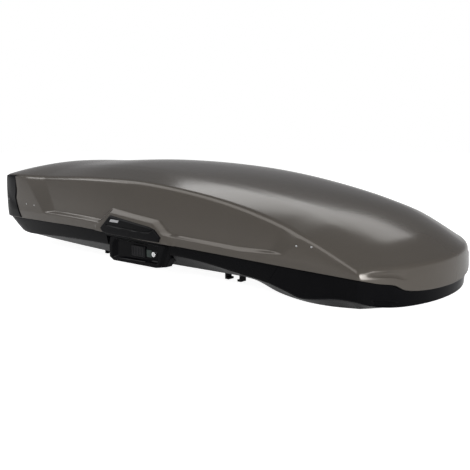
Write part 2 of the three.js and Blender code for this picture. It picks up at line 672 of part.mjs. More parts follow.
// ---------------------------------------------------------------- clamps for the roof bars
for (const [end, x] of Object.entries(CLAMP_XS)) {
  for (const [sideName, side] of Object.entries(SIDES)) {
    const y = side * CLAMP_Y;
    const name = `${end}_${sideName}`;
    const housing = block([x - CLAMP_LENGTH / 2, y - CLAMP_WIDTH / 2, floorTop + GAP],
      [x + CLAMP_LENGTH / 2, y + CLAMP_WIDTH / 2, floorTop + CLAMP_HEIGHT]);
    const channel = block([x - JAW_X - 9, y - JAW_W / 2 - 7, floorTop - 1],
      [x + JAW_X + 9, y + JAW_W / 2 + 7, floorTop + CLAMP_HEIGHT - 5]);
    const hole = new THREE.CylinderGeometry(8, 8, 40, 20);
    hole.rotateX(Math.PI / 2).translate(x, y, floorTop + CLAMP_HEIGHT);
    place(`clamp_housing_${name}`, cut(housing, channel, hole), 'matteBlack');

    const base = floorTop + CLAMP_HEIGHT + GAP;
    const disc = new THREE.CylinderGeometry(KNOB_R, KNOB_R, KNOB_HEIGHT - 9, 24);
    disc.rotateX(Math.PI / 2).translate(x, y, base + (KNOB_HEIGHT - 9) / 2);
    const stem = new THREE.CylinderGeometry(7, 7, 6, 20);
    stem.rotateX(Math.PI / 2).translate(x, y, base - 2);
    const grip = block([x - KNOB_R + 3, y - 6, base + 3], [x + KNOB_R - 3, y + 6, base + KNOB_HEIGHT]);
    place(`clamp_knob_${name}`, join(disc, stem, grip), 'accent');

    for (const [jawName, way] of [['rear', -1], ['front', 1]]) {
      const span = (a, b) => [x + way * a, x + way * b].sort((p, q) => p - q);
      const leg = span(JAW_X - JAW_T / 2, JAW_X + JAW_T / 2);
      const toe = span(JAW_X - JAW_T / 2 - JAW_FOOT, JAW_X);
      const head = span(JAW_X - 6, JAW_X + 6);
      const half = JAW_W / 2;
      place(`clamp_jaw_${name}_${jawName}`, join(
        block([leg[0], y - half, JAW_LOW], [leg[1], y + half, floorTop + 12]),
        block([toe[0], y - half, JAW_LOW], [toe[1], y + half, JAW_LOW + 7]),
        block([head[0], y - half - 5, floorTop + 3], [head[1], y + half + 5, floorTop + 12]),
      ), 'matteBlack');
    }
  }
}

// ---------------------------------------------------------------- locks
for (const [sideName, side] of Object.entries(SIDES)) {
  const depth = (a, b) => [side * a, side * b].sort((p, q) => p - q);
  const front = plateXZ(LOCK_OUTLINE, ...depth(362, LOCK_FACE_Y));
  const back = sideBlock(side, [LOCK_X0, 354, LOCK_SHELF_Z], [LOCK_X1, 364, LOCK_TOP_Z]);
  const pocket = plateXZ(POCKET, ...depth(LOCK_FACE_Y - POCKET_DEPTH, LOCK_FACE_Y + 5));
  const slot = sideBlock(side, [-LOCK_TRAVEL - 7, 340, 73], [7, 380, 87]);
  const keyHole = new THREE.CylinderGeometry(9, 9, 60, 24);
  keyHole.translate(KEY_AT[0], side * (LOCK_FACE_Y - POCKET_DEPTH + 15), KEY_AT[1]);
  place(`lock_housing_${sideName}`, cut(join(front, back), pocket, slot, keyHole), 'glossBlack');

  const handle = sideBlock(side, [SLIDER_X[0], LOCK_FACE_Y - POCKET_DEPTH + GAP, 58],
    [SLIDER_X[1], LOCK_FACE_Y - 2, 96]);
  const stem = sideBlock(side, [-6, 352, 74], [6, LOCK_FACE_Y - 6, 86]);
  place(`lock_slider_${sideName}`, join(handle, stem), 'matteBlack');

  const barrel = new THREE.CylinderGeometry(8.6, 8.6, 21, 24);
  barrel.translate(KEY_AT[0], side * (LOCK_FACE_Y - 13), KEY_AT[1]);
  const keyway = sideBlock(side, [KEY_AT[0] - 1, LOCK_FACE_Y - 9, KEY_AT[1] - 5],
    [KEY_AT[0] + 1, LOCK_FACE_Y, KEY_AT[1] + 5]);
  place(`key_cylinder_${sideName}`, cut(barrel, keyway), 'chrome');

  const rail = sideBlock(side, [HOOK_XS[0] - 40, 322, 80], [HOOK_XS[1] - 8, 332, 89]);
  const fingers = HOOK_XS.flatMap((x) => [
    sideBlock(side, [x - 27, 322, 85], [x - 15, 326, 112]),
    sideBlock(side, [x - 27, 322, HINGE_Z + ROD_R + 0.7], [x - 15, 338, 112]),
  ]);
  place(`lock_bar_${sideName}`, join(rail, ...fingers), 'steel');
}

// ---------------------------------------------------------------- lid
const lidSkin = (t) => skin([lidSide(0, t), lidSide(0.5, t), lidCrown(t)], lidCrown(t));
place('lid_shell', shell(lidSkin(0), lidSkin(LID_WALL), 1), 'lid');

// Ribs that stiffen the crown from inside.
function buildRib(x) {
  const level = (s) => (_, v, wall) => lidCrown(LID_WALL + 2.4 + wall)(s, v);
  const walk = CROSS.filter((v) => Math.abs(v) < 0.9).map((v) => [0, v]);
  return band(walk, [level(x + RIB_HALF), level(x - RIB_HALF)], RIB_THICKNESS);
}
RIB_XS.forEach((x, i) => place(`lid_rib_${HOOK_NAMES[i]}`, buildRib(x), 'matteBlack'));

// Black cover round the tail of the lid.
const coverLevel = (f) => (s, v, wall) => lidSide(f, wall - COVER_WALL - GAP)(s, v);
const coverWalk = [
  ...STATIONS.filter((s) => s <= -840).slice(1).reverse().map((s) => [s, 1]),
  ...[...CROSS].reverse().map((v) => [TAIL_X, v]),
  ...STATIONS.filter((s) => s <= -840).slice(1).map((s) => [s, -1]),
];
place('tail_cover', band(coverWalk, [coverLevel(0.02), coverLevel(0.5), coverLevel(0.96)],
  COVER_WALL, { onLid: true }), 'glossBlack');

// Handles: slabs on the lid's sides, hollow behind their lower edge for the fingers.
const lidPlug = (t) => toManifold(plug(lidSkin(t)));
const [nearFace, gripFace, outerFace] = [lidPlug(-GAP - 0.3), lidPlug(-8), lidPlug(-HANDLE_WALL)];
for (const [sideName, side] of Object.entries(SIDES)) {
  const depth = [side * 340, side * 440].sort((a, b) => a - b);
  const outline = HANDLE_OUTLINE.map(([x, z]) => [x, z + PART_Z]);
  const prism = toManifold(plateXZ(outline, ...depth));
  const fingers = toManifold(sideBlock(side, [-90, 340, PART_Z], [80, 440, PART_Z + 34]));
  const slab = prism.intersect(outerFace).subtract(nearFace);
  place(`handle_${sideName}`, fromManifold(slab.subtract(fingers.intersect(gripFace))),
    'matteBlack');
}

export default group;
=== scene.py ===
# %% [markdown]
# # A roof cargo box, dressed over its CAD frame
# The CAD gives every part its place, its size and its motion. This lesson gives each visible
# surface its real shape and finish. Everything is in metres, in the frame of the CAD: +X is the
# nose, -Y the near side and +Z up.

# %% Load the frame
import json
import math
from functools import lru_cache
import bmesh
import bpy
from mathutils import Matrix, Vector


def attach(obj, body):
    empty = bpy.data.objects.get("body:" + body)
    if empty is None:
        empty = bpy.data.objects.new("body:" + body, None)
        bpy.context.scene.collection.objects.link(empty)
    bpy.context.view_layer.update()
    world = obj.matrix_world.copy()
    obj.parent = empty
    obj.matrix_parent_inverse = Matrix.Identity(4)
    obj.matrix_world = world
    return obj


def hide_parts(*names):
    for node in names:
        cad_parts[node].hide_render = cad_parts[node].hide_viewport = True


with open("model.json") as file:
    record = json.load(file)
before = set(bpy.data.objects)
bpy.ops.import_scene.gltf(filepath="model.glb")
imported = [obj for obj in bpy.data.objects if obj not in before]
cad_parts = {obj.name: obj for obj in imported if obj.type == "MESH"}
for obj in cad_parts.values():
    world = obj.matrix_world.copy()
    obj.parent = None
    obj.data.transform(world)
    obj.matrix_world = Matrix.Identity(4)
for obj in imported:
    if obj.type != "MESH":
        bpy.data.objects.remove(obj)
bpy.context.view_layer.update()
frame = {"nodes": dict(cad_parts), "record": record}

# %% [markdown]
# ## Camera
# The box is seen from its nose and near side, a little above its rim. The camera is aimed at a
# point near the middle of the box, and its place follows from two angles and a distance.

# %% Camera
LOOK_AT = Vector((0.1102, 0, 0.0961))
AZIMUTH = math.radians(42.03)
ELEVATION = math.radians(9.79)
away = Vector((math.sin(AZIMUTH) * math.cos(ELEVATION),
               -math.cos(AZIMUTH) * math.cos(ELEVATION), math.sin(ELEVATION)))
camera = bpy.data.objects.new("camera", bpy.data.cameras.new("camera"))
bpy.context.scene.collection.objects.link(camera)
camera.data.lens = 50.4
camera.data.sensor_width = 36
camera.location = LOOK_AT + away * 2.4628
camera.rotation_mode = "QUATERNION"
camera.rotation_quaternion = (-away).to_track_quat("-Z", "Y")
bpy.context.scene.camera = camera
print("camera at", [round(v, 3) for v in camera.location])

# %% [markdown]
# ## Light
# A car finish shows its form through what it mirrors. Large area lights make soft, even bands
# along the edges. Four are enough here: one overhead, one ahead, and weak ones at the tail and
# the far side. The world fills the rest.

# %% Lights and world
bpy.context.scene.view_settings.view_transform = "Standard"


def softbox(name, at, aim, size, power):
    light = bpy.data.lights.new(name, "AREA")
    light.shape = "RECTANGLE"
    light.size, light.size_y = size
    light.energy = power
    lamp = bpy.data.objects.new(name, light)
    bpy.context.scene.collection.objects.link(lamp)
    lamp.location = at
    lamp.rotation_mode = "QUATERNION"
    lamp.rotation_quaternion = (Vector(aim) - Vector(at)).to_track_quat("-Z", "Y")
    print("softbox", name, power, "W")


softbox("overhead", (-0.8, -2.1, 2.2), (0, -0.3, 0.15), (5.2, 1.9), 92)
softbox("front", (3.6, -1.0, 0.8), (0.2, 0, 0.1), (1.2, 0.9), 95)
softbox("tail_low", (-3.2, -1.9, 1.42), (-0.7, -0.37, 0.2), (1.2, 0.5), 9)
softbox("far_fill", (-0.8, 2.2, 2.7), (0, 0, 0.2), (3.4, 1.2), 34)

# %% [markdown]
# The finishes mirror a world that is pale at the horizon and dark overhead, as in a studio with
# a high dark ceiling. The camera itself sees plain white, which a Light Path node sorts out. The
# floor glows a little, so that it looks as light as the backdrop.

# %% World and floor
HORIZON = [(0.0, (0.9, 0.9, 0.9)), (0.5, (0.85, 0.85, 0.85)), (0.56, (0.30, 0.30, 0.31)),
           (0.66, (0.17, 0.17, 0.175)), (1.0, (0.22, 0.22, 0.225))]
world = bpy.data.worlds.new("studio")
world.use_nodes = True
nodes, links = world.node_tree.nodes, world.node_tree.links
direction = nodes.new("ShaderNodeTexCoord")
split = nodes.new("ShaderNodeSeparateXYZ")
height = nodes.new("ShaderNodeMapRange")
height.inputs["From Min"].default_value = -1
ramp = nodes.new("ShaderNodeValToRGB")
for at, _ in HORIZON[1:-1]:
    ramp.color_ramp.elements.new(at)
for stop, (at, colour) in zip(ramp.color_ramp.elements, HORIZON):
    stop.position = at
    stop.color = (*colour, 1)
seen = nodes.new("ShaderNodeLightPath")
sweep = nodes.new("ShaderNodeMix")
sweep.data_type = "RGBA"
MIRRORED, SEEN, MIXED = 6, 7, 2     # the Mix node's colour sockets
links.new(direction.outputs["Generated"], split.inputs[0])
links.new(split.outputs["Z"], height.inputs["Value"])
links.new(height.outputs["Result"], ramp.inputs["Fac"])
links.new(seen.outputs["Is Camera Ray"], sweep.inputs["Factor"])
links.new(ramp.outputs["Color"], sweep.inputs[MIRRORED])
sweep.inputs[SEEN].default_value = (1, 1, 1, 1)
links.new(sweep.outputs[MIXED], nodes["Background"].inputs["Color"])
bpy.context.scene.world = world

bm = bmesh.new()
bmesh.ops.create_circle(bm, cap_ends=True, segments=96, radius=9)
floor_mesh = bpy.data.meshes.new("floor")
bm.to_mesh(floor_mesh)
bm.free()
floor = bpy.data.objects.new("floor", floor_mesh)
bpy.context.scene.collection.objects.link(floor)
pale = bpy.data.materials.new("pale_floor")
pale.use_nodes = True
surface = pale.node_tree.nodes["Principled BSDF"].inputs
surface["Base Color"].default_value = (0.5, 0.5, 0.5, 1)
surface["Roughness"].default_value = 0.9
surface["Specular IOR Level"].default_value = 0.1
surface["Emission Color"].default_value = (1, 1, 1, 1)
glow = pale.node_tree.nodes.new("ShaderNodeMapRange")
glow.inputs["To Min"].default_value = 0.3
glow.inputs["To Max"].default_value = 0.95
pale.node_tree.links.new(pale.node_tree.nodes.new("ShaderNodeLightPath").outputs["Is Camera Ray"],
                         glow.inputs["Value"])
pale.node_tree.links.new(glow.outputs["Result"], surface["Emission Strength"])
floor_mesh.materials.append(pale)
print("floor at", floor.location.z)

# %% [markdown]
# ## A small language for shaders
# A finish is a graph of nodes, and most of it is arithmetic. A class that wraps one output of a
# node and overloads the operators lets that arithmetic be written as Python. Every other kind of
# node goes through the one method `node`.


# %% Shader values
class Value:
    """One output of a shader node. Python's operators on it add Math nodes."""

    def __init__(self, tree, socket=None):
        self.tree = tree
        self.socket = socket

    def node(self, kind, settings=None, inputs=None, out=0):
        made = self.tree.nodes.new(kind)
        for key, value in (settings or {}).items():
            if key == "stops":
                elements = made.color_ramp.elements
                while len(elements) > 1:
                    elements.remove(elements[-1])
                for count, (at, colour) in enumerate(value):
                    stop = elements[0] if count == 0 else elements.new(at)
                    stop.position = at
                    stop.color = (*colour, 1)
            else:
                setattr(made, key, value)
        for key, value in (inputs or {}).items():
            if isinstance(value, Value):
                self.tree.links.new(value.socket, made.inputs[key])
            else:
                made.inputs[key].default_value = value
        return Value(self.tree, made.outputs[out])

    def maths(self, operation, a, b):
        return self.node("ShaderNodeMath", {"operation": operation}, {0: a, 1: b})

    def __add__(self, other):
        return self.maths("ADD", self, other)

    def __sub__(self, other):
        return self.maths("SUBTRACT", self, other)

    def __rsub__(self, other):
        return self.maths("SUBTRACT", other, self)

    def __mul__(self, other):
        return self.maths("MULTIPLY", self, other)

    __radd__ = __add__
    __rmul__ = __mul__


def finish(name, constants, varying):
    """A Principled material. varying takes the object coordinates and returns its links."""
    material = bpy.data.materials.new(name)
    material.use_nodes = True
    tree = material.node_tree
    shader = tree.nodes["Principled BSDF"]
    for socket, value in constants.items():
        shader.inputs[socket].default_value = value
    place = Value(tree).node("ShaderNodeTexCoord", out="Object")
    for socket, value in varying(place).items():
        tree.links.new(value.socket, shader.inputs[socket])
    print("finish", name, "with", len(tree.nodes), "nodes")
    return material


def noise(place, scale, detail=2.0, rough=0.5):
    return place.node("ShaderNodeTexNoise", {}, {
        "Vector": place, "Scale": scale, "Detail": detail, "Roughness": rough})


def bump(height, distance):
    return height.node("ShaderNodeBump", {}, {
        "Height": height, "Distance": distance, "Strength": 1.0})


def tint(amount, dark, light):
    """A colour between two, by a value from 0 to 1."""
    return amount.node("ShaderNodeValToRGB", {"stops": [(0.0, dark), (1.0, light)]},
                       {"Fac": amount})


# %% [markdown]
# ## Finishes
# The lid is vacuum-formed sheet with a warm grey metallic film: fine flakes, a faint orange peel
# and a clear top layer. The trim is piano black, and the inner mouldings are a grained black
# plastic. The tub is the same sheet as the lid without its film, with a pebbled grain.

# %% Finishes of the outside


def titan(place):
    flakes = noise(place, 2600, 1.0)
    peel = noise(place, 120, 2.0)
    drift = noise(place, 2.2, 2.0)
    return {
        "Base Color": tint(drift * 0.5 + flakes * 0.5, (0.054, 0.0480, 0.0415),
                           (0.086, 0.0765, 0.066)),
        "Roughness": 0.15 + flakes * 0.09,
        "Normal": bump(flakes * 0.12 + peel, 0.00006),
    }


TITAN = finish("titan_metallic_sheet", {
    "Metallic": 0.2, "Specular IOR Level": 0.25,
}, titan)


def piano(place):
    peel = noise(place, 90, 2.0)
    dust = noise(place, 14, 4.0, 0.6)
    return {
        "Base Color": tint(dust, (0.0012, 0.0012, 0.0016), (0.0030, 0.0030, 0.0036)),
        "Roughness": 0.07 + dust * 0.09,
        "Normal": bump(peel, 0.00005),
    }


PIANO = finish("piano_black", {"Specular IOR Level": 0.05}, piano)


def grained(dark, light, grain, depth, rough):
    def varying(place):
        pebble = noise(place, grain, 3.0, 0.55)
        drift = noise(place, 9, 3.0)
        return {
            "Base Color": tint(drift, dark, light),
            "Roughness": rough + pebble * 0.18,
            "Normal": bump(pebble, depth),
        }
    return varying


MOULDED = finish("grained_black_moulding", {"Specular IOR Level": 0.1},
                 grained((0.005, 0.005, 0.0055), (0.010, 0.010, 0.011), 900, 0.00018, 0.38))
SATIN = finish("satin_black_handle", {"Specular IOR Level": 0.07},
               grained((0.002, 0.002, 0.0024), (0.005, 0.005, 0.0056), 1400, 0.00008, 0.26))
TUB = finish("pebbled_black_sheet", {"Specular IOR Level": 0.12},
             grained((0.004, 0.004, 0.0045), (0.008, 0.008, 0.0088), 700, 0.00012, 0.20))
LINER = finish("inside_of_the_lid", {"Specular IOR Level": 0.35},
               grained((0.030, 0.030, 0.031), (0.045, 0.045, 0.046), 600, 0.00015, 0.42))
RUBBER = finish("rubber", {"Specular IOR Level": 0.2},
                grained((0.008, 0.008, 0.008), (0.016, 0.016, 0.015), 500, 0.0001, 0.68))
RED = finish("red_knob_moulding", {"Specular IOR Level": 0.4},
             grained((0.20, 0.010, 0.010), (0.27, 0.016, 0.014), 900, 0.0001, 0.34))

# %% [markdown]
# Steel rods and arms are drawn and zinc plated. Their marks run along X on the rods, so the
# noise is squeezed along that axis. The key cylinder is polished, with faint turning marks.

# %% Metals and felt


def zinc(place):
    squeezed = place.node("ShaderNodeMapping", {}, {
        "Vector": place, "Scale": (8, 400, 400)})
    drawn = noise(squeezed, 1.0, 3.0)
    cloud = noise(place, 60, 3.0)
    return {
        "Base Color": tint(cloud, (0.36, 0.365, 0.37), (0.50, 0.505, 0.51)),
        "Roughness": 0.24 + drawn * 0.16 + cloud * 0.08,
        "Normal": bump(drawn, 0.00003),
    }


ZINC = finish("zinc_plated_steel", {"Metallic": 1.0}, zinc)


def polished(place):
    rings = noise(place, 700, 1.0)
    return {
        "Base Color": tint(rings, (0.78, 0.78, 0.79), (0.86, 0.86, 0.87)),
        "Roughness": 0.10 + rings * 0.08,
    }


CHROME = finish("satin_chrome", {"Metallic": 0.9}, polished)


def brushed(place):
    squeezed = place.node("ShaderNodeMapping", {}, {"Vector": place, "Scale": (20, 500, 500)})
    drawn = noise(squeezed, 1.0, 3.0)
    return {
        "Base Color": tint(drawn, (0.30, 0.30, 0.31), (0.42, 0.42, 0.43)),
        "Roughness": 0.34 + drawn * 0.2,
    }


SATIN_METAL = finish("satin_plate", {"Metallic": 0.6}, brushed)


def felt(place):
    fibres = noise(place, 420, 5.0, 0.7)
    clumps = noise(place, 45, 3.0)
    return {
        "Base Color": tint(fibres * 0.7 + clumps * 0.3, (0.022, 0.023, 0.025),
                           (0.085, 0.087, 0.092)),
        "Roughness": 0.86 + fibres * 0.12,
        "Normal": bump(fibres + clumps * 0.6, 0.0011),
    }


FELT = finish("grey_felt", {"Sheen Weight": 0.35, "Sheen Roughness": 0.6}, felt)

# %% [markdown]
# ## The body's curves
# The lid and the base share one family of curves: the half width, the height of the parting
# line, of the shoulder ridge and of the crown, each as values at a few stations along the side.
# A place on the body is (s, v): s runs along the side in millimetres and v across, from -1 on
# the near side to +1 on the far side. These are the curves of the CAD, but for the half width at
# the tail, where the corners are up to 8 mm fuller.

# %% Curves
MM = 0.001
PART_Z = 124
TAIL_S, NOSE_S = -952, 844
TAIL_RAKE = 52
LEAN = 0.154
BOW, BOW_START, BOW_POWER = 108, 350, 2.11
TAIL_BOW, TAIL_LENGTH = 8, 420
NOSE_LENGTH = 344
HALF_WIDTH = [(-952, 342), (-925, 358), (-840, 370), (-589, 386), (-267, 400), (56, 402),
              (378, 375), (665, 359), (844, 336)]
PART_HEIGHT = [(-952, -12), (-840, -9), (-589, -2), (-267, 5), (56, -1), (378, -10),
               (665, -16), (844, -23)]
RIDGE_HEIGHT = [(-952, 162), (-840, 168), (-589, 174), (-267, 188), (56, 188), (378, 151),
                (665, 82), (844, 6)]
CROWN_HEIGHT = [(-966, 196), (-840, 214), (-589, 223), (-267, 237), (56, 224), (378, 190),
                (665, 137), (844, 72), (952, 6)]
SKIRT_DEPTH = [(-952, 52), (-752, 62), (-477, 54), (-165, 46), (169, 34), (292, 36),
               (439, 50), (548, 61), (613, 76), (666, 88), (785, 68), (844, 66)]
NOSE_DIP = [(0, 51), (0.4, 47), (0.62, 38), (0.72, 21), (0.86, 12), (1, 0)]


def curve(points):
    """A smooth curve through the points, with slopes taken from the neighbours."""
    def slope(i):
        a, b = points[max(i - 1, 0)], points[min(i + 1, len(points) - 1)]
        return (b[1] - a[1]) / (b[0] - a[0])
    slopes = [slope(i) for i in range(len(points))]

    @lru_cache(maxsize=None)
    def value(x):
        i = 0
        while i < len(points) - 2 and x > points[i + 1][0]:
            i += 1
        (x0, y0), (x1, y1) = points[i], points[i + 1]
        t = min(max((x - x0) / (x1 - x0), 0), 1)
        return (y0 + (y1 - y0) * t * t * (3 - 2 * t)
                + (x1 - x0) * t * (1 - t) * (slopes[i] * (1 - t) - slopes[i + 1] * t))
    return value


half_width, part_height = curve(HALF_WIDTH), curve(PART_HEIGHT)
ridge_height, crown_height = curve(RIDGE_HEIGHT), curve(CROWN_HEIGHT)
skirt_depth, nose_dip = curve(SKIRT_DEPTH), curve(NOSE_DIP)


def plan_x(s, v, tail_shift, nose_shift):
    bow = BOW * max(0, (s - BOW_START) / (NOSE_S - BOW_START)) ** 2 * (1 - abs(v) ** BOW_POWER)
    tail = max(0, 1 - (s - TAIL_S) / TAIL_LENGTH) ** 2
    nose = max(0, (s - NOSE_S + NOSE_LENGTH) / NOSE_LENGTH) ** 2
    return s + bow - TAIL_BOW * tail * (1 - v * v) + tail_shift * tail + nose_shift * nose


def part_z(s, v):
    return PART_Z + part_height(s) - (nose_dip(abs(v)) if s > NOSE_S - 0.01 else 0)


print("ridge is", ridge_height(0) + PART_Z, "mm up amidships")

# %% [markdown]
# ## Relief on the lid's sides
# Each side carries a long recessed panel. It starts behind the tail cover with a wide slanted
# ramp, has a narrow ledge along its foot, and runs out in a soft ramp below the ridge near the
# nose. A raised surround stands in the panel round the handle. The relief is one function of the
# length x and the height h above the parting line, so that the skin, the liner and the handle
# agree about where the surface is.


# %% Relief of the sides
def ease(t, soft):
    """0 to 1 in a straight ramp whose two creases are rounded by soft."""
    if t < soft:
        return (max(t + soft, 0)) ** 2 / (4 * soft)
    if t > 1 - soft:
        return 1 - max(1 + soft - t, 0) ** 2 / (4 * soft)
    return t


def between(points, x):
    """Straight lines through the points."""
    for (x0, y0), (x1, y1) in zip(points, points[1:]):
        if x <= x1:
            return y0 + (y1 - y0) * (x - x0) / (x1 - x0)
    return points[-1][1]


LEDGE_FOOT = [(-900, 40), (-569, 37), (-181, 31), (160, 30), (462, 22), (615, 36), (900, 60)]
LEDGE_TOP = [(-900, 50), (-486, 46), (-189, 41), (181, 35), (460, 34), (570, 39), (900, 66)]


def panel(x, h):
    """1 inside the recessed panel, 0 outside it."""
    rear, rear_in = -737 + 1.226 * (174 - h), -601 + 0.898 * (174 - h)
    front, front_in = 615 + (h - 36), 570 + 0.64 * (h - 39)
    foot, top = between(LEDGE_FOOT, x), between(LEDGE_TOP, x)
    return min(ease((x - rear) / (rear_in - rear), 0.06),
               ease((h - foot) / (top - foot), 0.22),
               ease((front - x) / (front - front_in), 0.3))


def surround(x, h):
    """1 on the raised surround of the handle, 0 outside it."""
    left = ((x + 182) * 47 - (h - 40) * 65) / 80.2
    top = 87 - 0.055 * (x + 117) - h
    right = ((181 - x) * 37 - (h - 35) * 53) / 64.6
    return min(ease(left / 12, 0.15), ease(top / 12, 0.15), ease(right / 26, 0.1))


RECESS, PROUD, SURROUND_PROUD = 4.5, 4.5, 5.5


def relief(x, h):
    """How far the side stands inside (+) or outside (-) its plain surface, in millimetres."""
    inside = panel(x, h)
    fade = ease((x + 900) / 110, 0.2) * ease((800 - x) / 120, 0.2) * ease(h / 26, 0.3)
    plain = RECESS * inside - PROUD * fade * (1 - inside)
    raised = surround(x, h) if -200 < x < 200 else 0
    return plain * (1 - raised) - SURROUND_PROUD * raised


print("relief at the panel", relief(0, 120), "at the surround", round(relief(0, 60), 2))

# %% [markdown]
# ## Surfaces of the lid
# The side leans inwards as it rises. The crown spans between the ridges, with a soft crease
# where its shoulders turn into the flatter top. A shallow scoop lies under each front corner.


# %% Lid surfaces
def scoop(v, f):
    across = max(0, 1 - ((abs(v) - 0.755) / 0.145) ** 2)
    up = max(0, 1 - ((f - 0.60) / 0.17) ** 2)
    return 4.5 * (across * up) ** 0.6


def lid_side(s, v, f, t):
    """The lid's side at height fraction f, moved in by t."""
    rim = part_z(s, v) + 1
    ridge = PART_Z + ridge_height(s)
    z = rim + (ridge - t - rim) * f
    rise = z - PART_Z - part_height(s)
    y = half_width(s) - max(LEAN * rise, 0) + 12 * f * (1 - f) - t
    x = plan_x(s, v, TAIL_RAKE * (1 - f) + t, 8 * (1 - f) - t)
    if abs(v) == 1:
        y -= relief(x, rise)
    elif s > NOSE_S - 0.01:
        x -= scoop(v, f)
    return Vector((x, v * y, z))


CREASE = 0.62      # where across the crown its shoulders turn into the top


def crown_profile(v, x):
    a = abs(v)
    lift = (a / CREASE) ** 2 if a < CREASE else (1 - a) / (1 - CREASE)
    lift -= 0.25 * max(0, 1 - abs(a - CREASE) / 0.1) ** 2
    fade = ease((x + 960) / 640, 0.3) * ease((900 - x) / 260, 0.3)
    return 1 - a * a + 0.11 * max(lift, 0) * fade


def lid_crown(s, v, t):
    ridge, middle = ridge_height(s), plan_x(s, 0, 0, 0)
    z = PART_Z + ridge + (crown_height(middle) - ridge) * crown_profile(v, middle) - t
    rise = ridge - part_height(s)
    edge = half_width(s) - LEAN * rise - t - relief(plan_x(s, 1, 0, 0), rise)
    return Vector((plan_x(s, v, t, -t), v * edge, z))


# %% [markdown]
# ## A skin over a grid
# `create_grid` gives the top, and its border is extruded ring by ring down the sides. Each
# vertex keeps its (s, v) and its ring number in layers, so the shape is set once at the end.
# Modelling the whole lid as one skin keeps the reflections unbroken over the ridge.


# %% Skin builder
def skin(columns, crosses, rings, where, close=False):
    """A grid with rings extruded from its border; where(s, v, ring) places each vertex."""
    bm = bmesh.new()
    nx, ny = len(columns) - 1, len(crosses) - 1
    bmesh.ops.create_grid(bm, x_segments=nx, y_segments=ny, size=1)
    along = bm.verts.layers.float.new("s")
    across = bm.verts.layers.float.new("v")
    level = bm.verts.layers.int.new("ring")
    for vert in bm.verts:
        vert[along] = columns[round((vert.co.x + 1) / 2 * nx)]
        vert[across] = crosses[round((vert.co.y + 1) / 2 * ny)]
    edges = [e for e in bm.edges if e.is_boundary]
    for ring in range(1, rings + 1):
        made = bmesh.ops.extrude_edge_only(bm, edges=edges)["geom"]
        for vert in made:
            if isinstance(vert, bmesh.types.BMVert):
                vert[level] = ring
        edges = [e for e in made if isinstance(e, bmesh.types.BMEdge)
                 and all(v[level] == ring for v in e.verts)]
    for vert in bm.verts:
        vert.co = where(vert[along], vert[across], vert[level]) * MM
    if close:
        bmesh.ops.contextual_create(bm, geom=edges)
    return bm


def soften_corners(bm, near, times):
    """Rounds the upright corners: the vertices for which near is true are smoothed in plan."""
    verts = [v for v in bm.verts if near(v.co)]
    for _ in range(times):
        bmesh.ops.smooth_vert(bm, verts=verts, factor=0.5, use_axis_x=True, use_axis_y=True,
                              use_axis_z=False)


def piece_from(name, bm, body, material, instead_of=(), crease=34, turn=True):
    """Turns a bmesh into a smooth piece that rides on a body."""
    if turn:
        bmesh.ops.recalc_face_normals(bm, faces=bm.faces)
    mesh = bpy.data.meshes.new(name)
    bm.to_mesh(mesh)
    bm.free()
    mesh.shade_smooth()
    mesh.set_sharp_from_angle(angle=math.radians(crease))
    piece = bpy.data.objects.new(name, mesh)
    bpy.context.scene.collection.objects.link(piece)
    mesh.materials.append(material)
    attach(piece, body)
    if instead_of:
        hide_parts(*instead_of)
    print(name, len(mesh.polygons), "faces")
    return piece


# %% [markdown]
# ## The lid
# Columns are close together where the relief is and further apart elsewhere. The ridge is
# rounded with a quadratic curve between a point on the side, the ridge itself and a point on
# the crown, which gives the same radius all the way round.


# %% Lid skin
def spread(start, stop, step):
    count = max(1, round((stop - start) / step))
    return [start + (stop - start) * k / count for k in range(count)]


COLUMNS = [*spread(-952, -928, 4), *spread(-928, -780, 10), *spread(-780, 700, 4.2),
           *spread(700, 820, 9), *spread(820, 844, 4), 844]
CROSSES = [-1, -0.985, -0.97, -0.955, -0.94, -0.92, -0.89, -0.86, -0.83, -0.80, -0.77, -0.74,
           -0.71, -0.68, -0.65, -0.62, -0.59, -0.55, -0.5, -0.42, -0.33, -0.22, -0.11]
CROSSES = [*CROSSES, 0, *[-v for v in reversed(CROSSES)]]
ROUND = 5
HEIGHTS = [*[k * 0.02 for k in range(1, 29)], 0.60, 0.65, 0.7, 0.75, 0.8, 0.85, 0.9, 0.95, 1.0]
HEIGHTS.reverse()


def round_size(s):
    return 12 - 4 * max(0, (s - 600) / 244)


def cap_place(s, v, t):
    size = round_size(s)
    shift = max(0, 1 - (s - TAIL_S) / 60) ** 2 - max(0, 1 - (NOSE_S - s) / 60) ** 2
    return lid_crown(s + size * shift, v * (1 - size / half_width(s)), t)


def lid_place(s, v, ring):
    s, v = round(s, 4), round(v, 5)
    if ring == 0:
        return cap_place(s, v, 0)
    height = ridge_height(s) + PART_Z - part_z(s, v) - 1
    high = 1 - round_size(s) / height
    if ring < ROUND:
        t = ring / ROUND
        return (cap_place(s, v, 0) * (1 - t) ** 2 + lid_side(s, v, 1, 0) * 2 * t * (1 - t)
                + lid_side(s, v, high, 0) * t * t)
    row = ring - ROUND
    if row < len(HEIGHTS):
        return lid_side(s, v, high * HEIGHTS[row], 0)
    edge = row - len(HEIGHTS)
    return lid_side(s, v, (1.2 / height, 0, 0, 0.4 / height, 22 / height)[edge],
                    (0, 0.8, 3.2, 4, 4)[edge])


lid = skin(COLUMNS, CROSSES, ROUND + len(HEIGHTS) + 4, lid_place)
soften_corners(lid, lambda co: abs(co.y) > 0.30 and co.x > 0.826, 2)
piece_from("lid_skin", lid, "lid", TITAN, ["lid_shell"])

# %% [markdown]
# The inside of the lid is bare sheet. It is a second, plainer skin, one wall thickness in. Where
# the panel is recessed, it lies further in, by the deepest relief nearby.


# %% Liner of the lid
def deepest(x, h):
    return max(relief(x + dx, h + dh) for dx in (-14, 0, 14) for dh in (-9, 0, 9))


LINER_WALL = 4


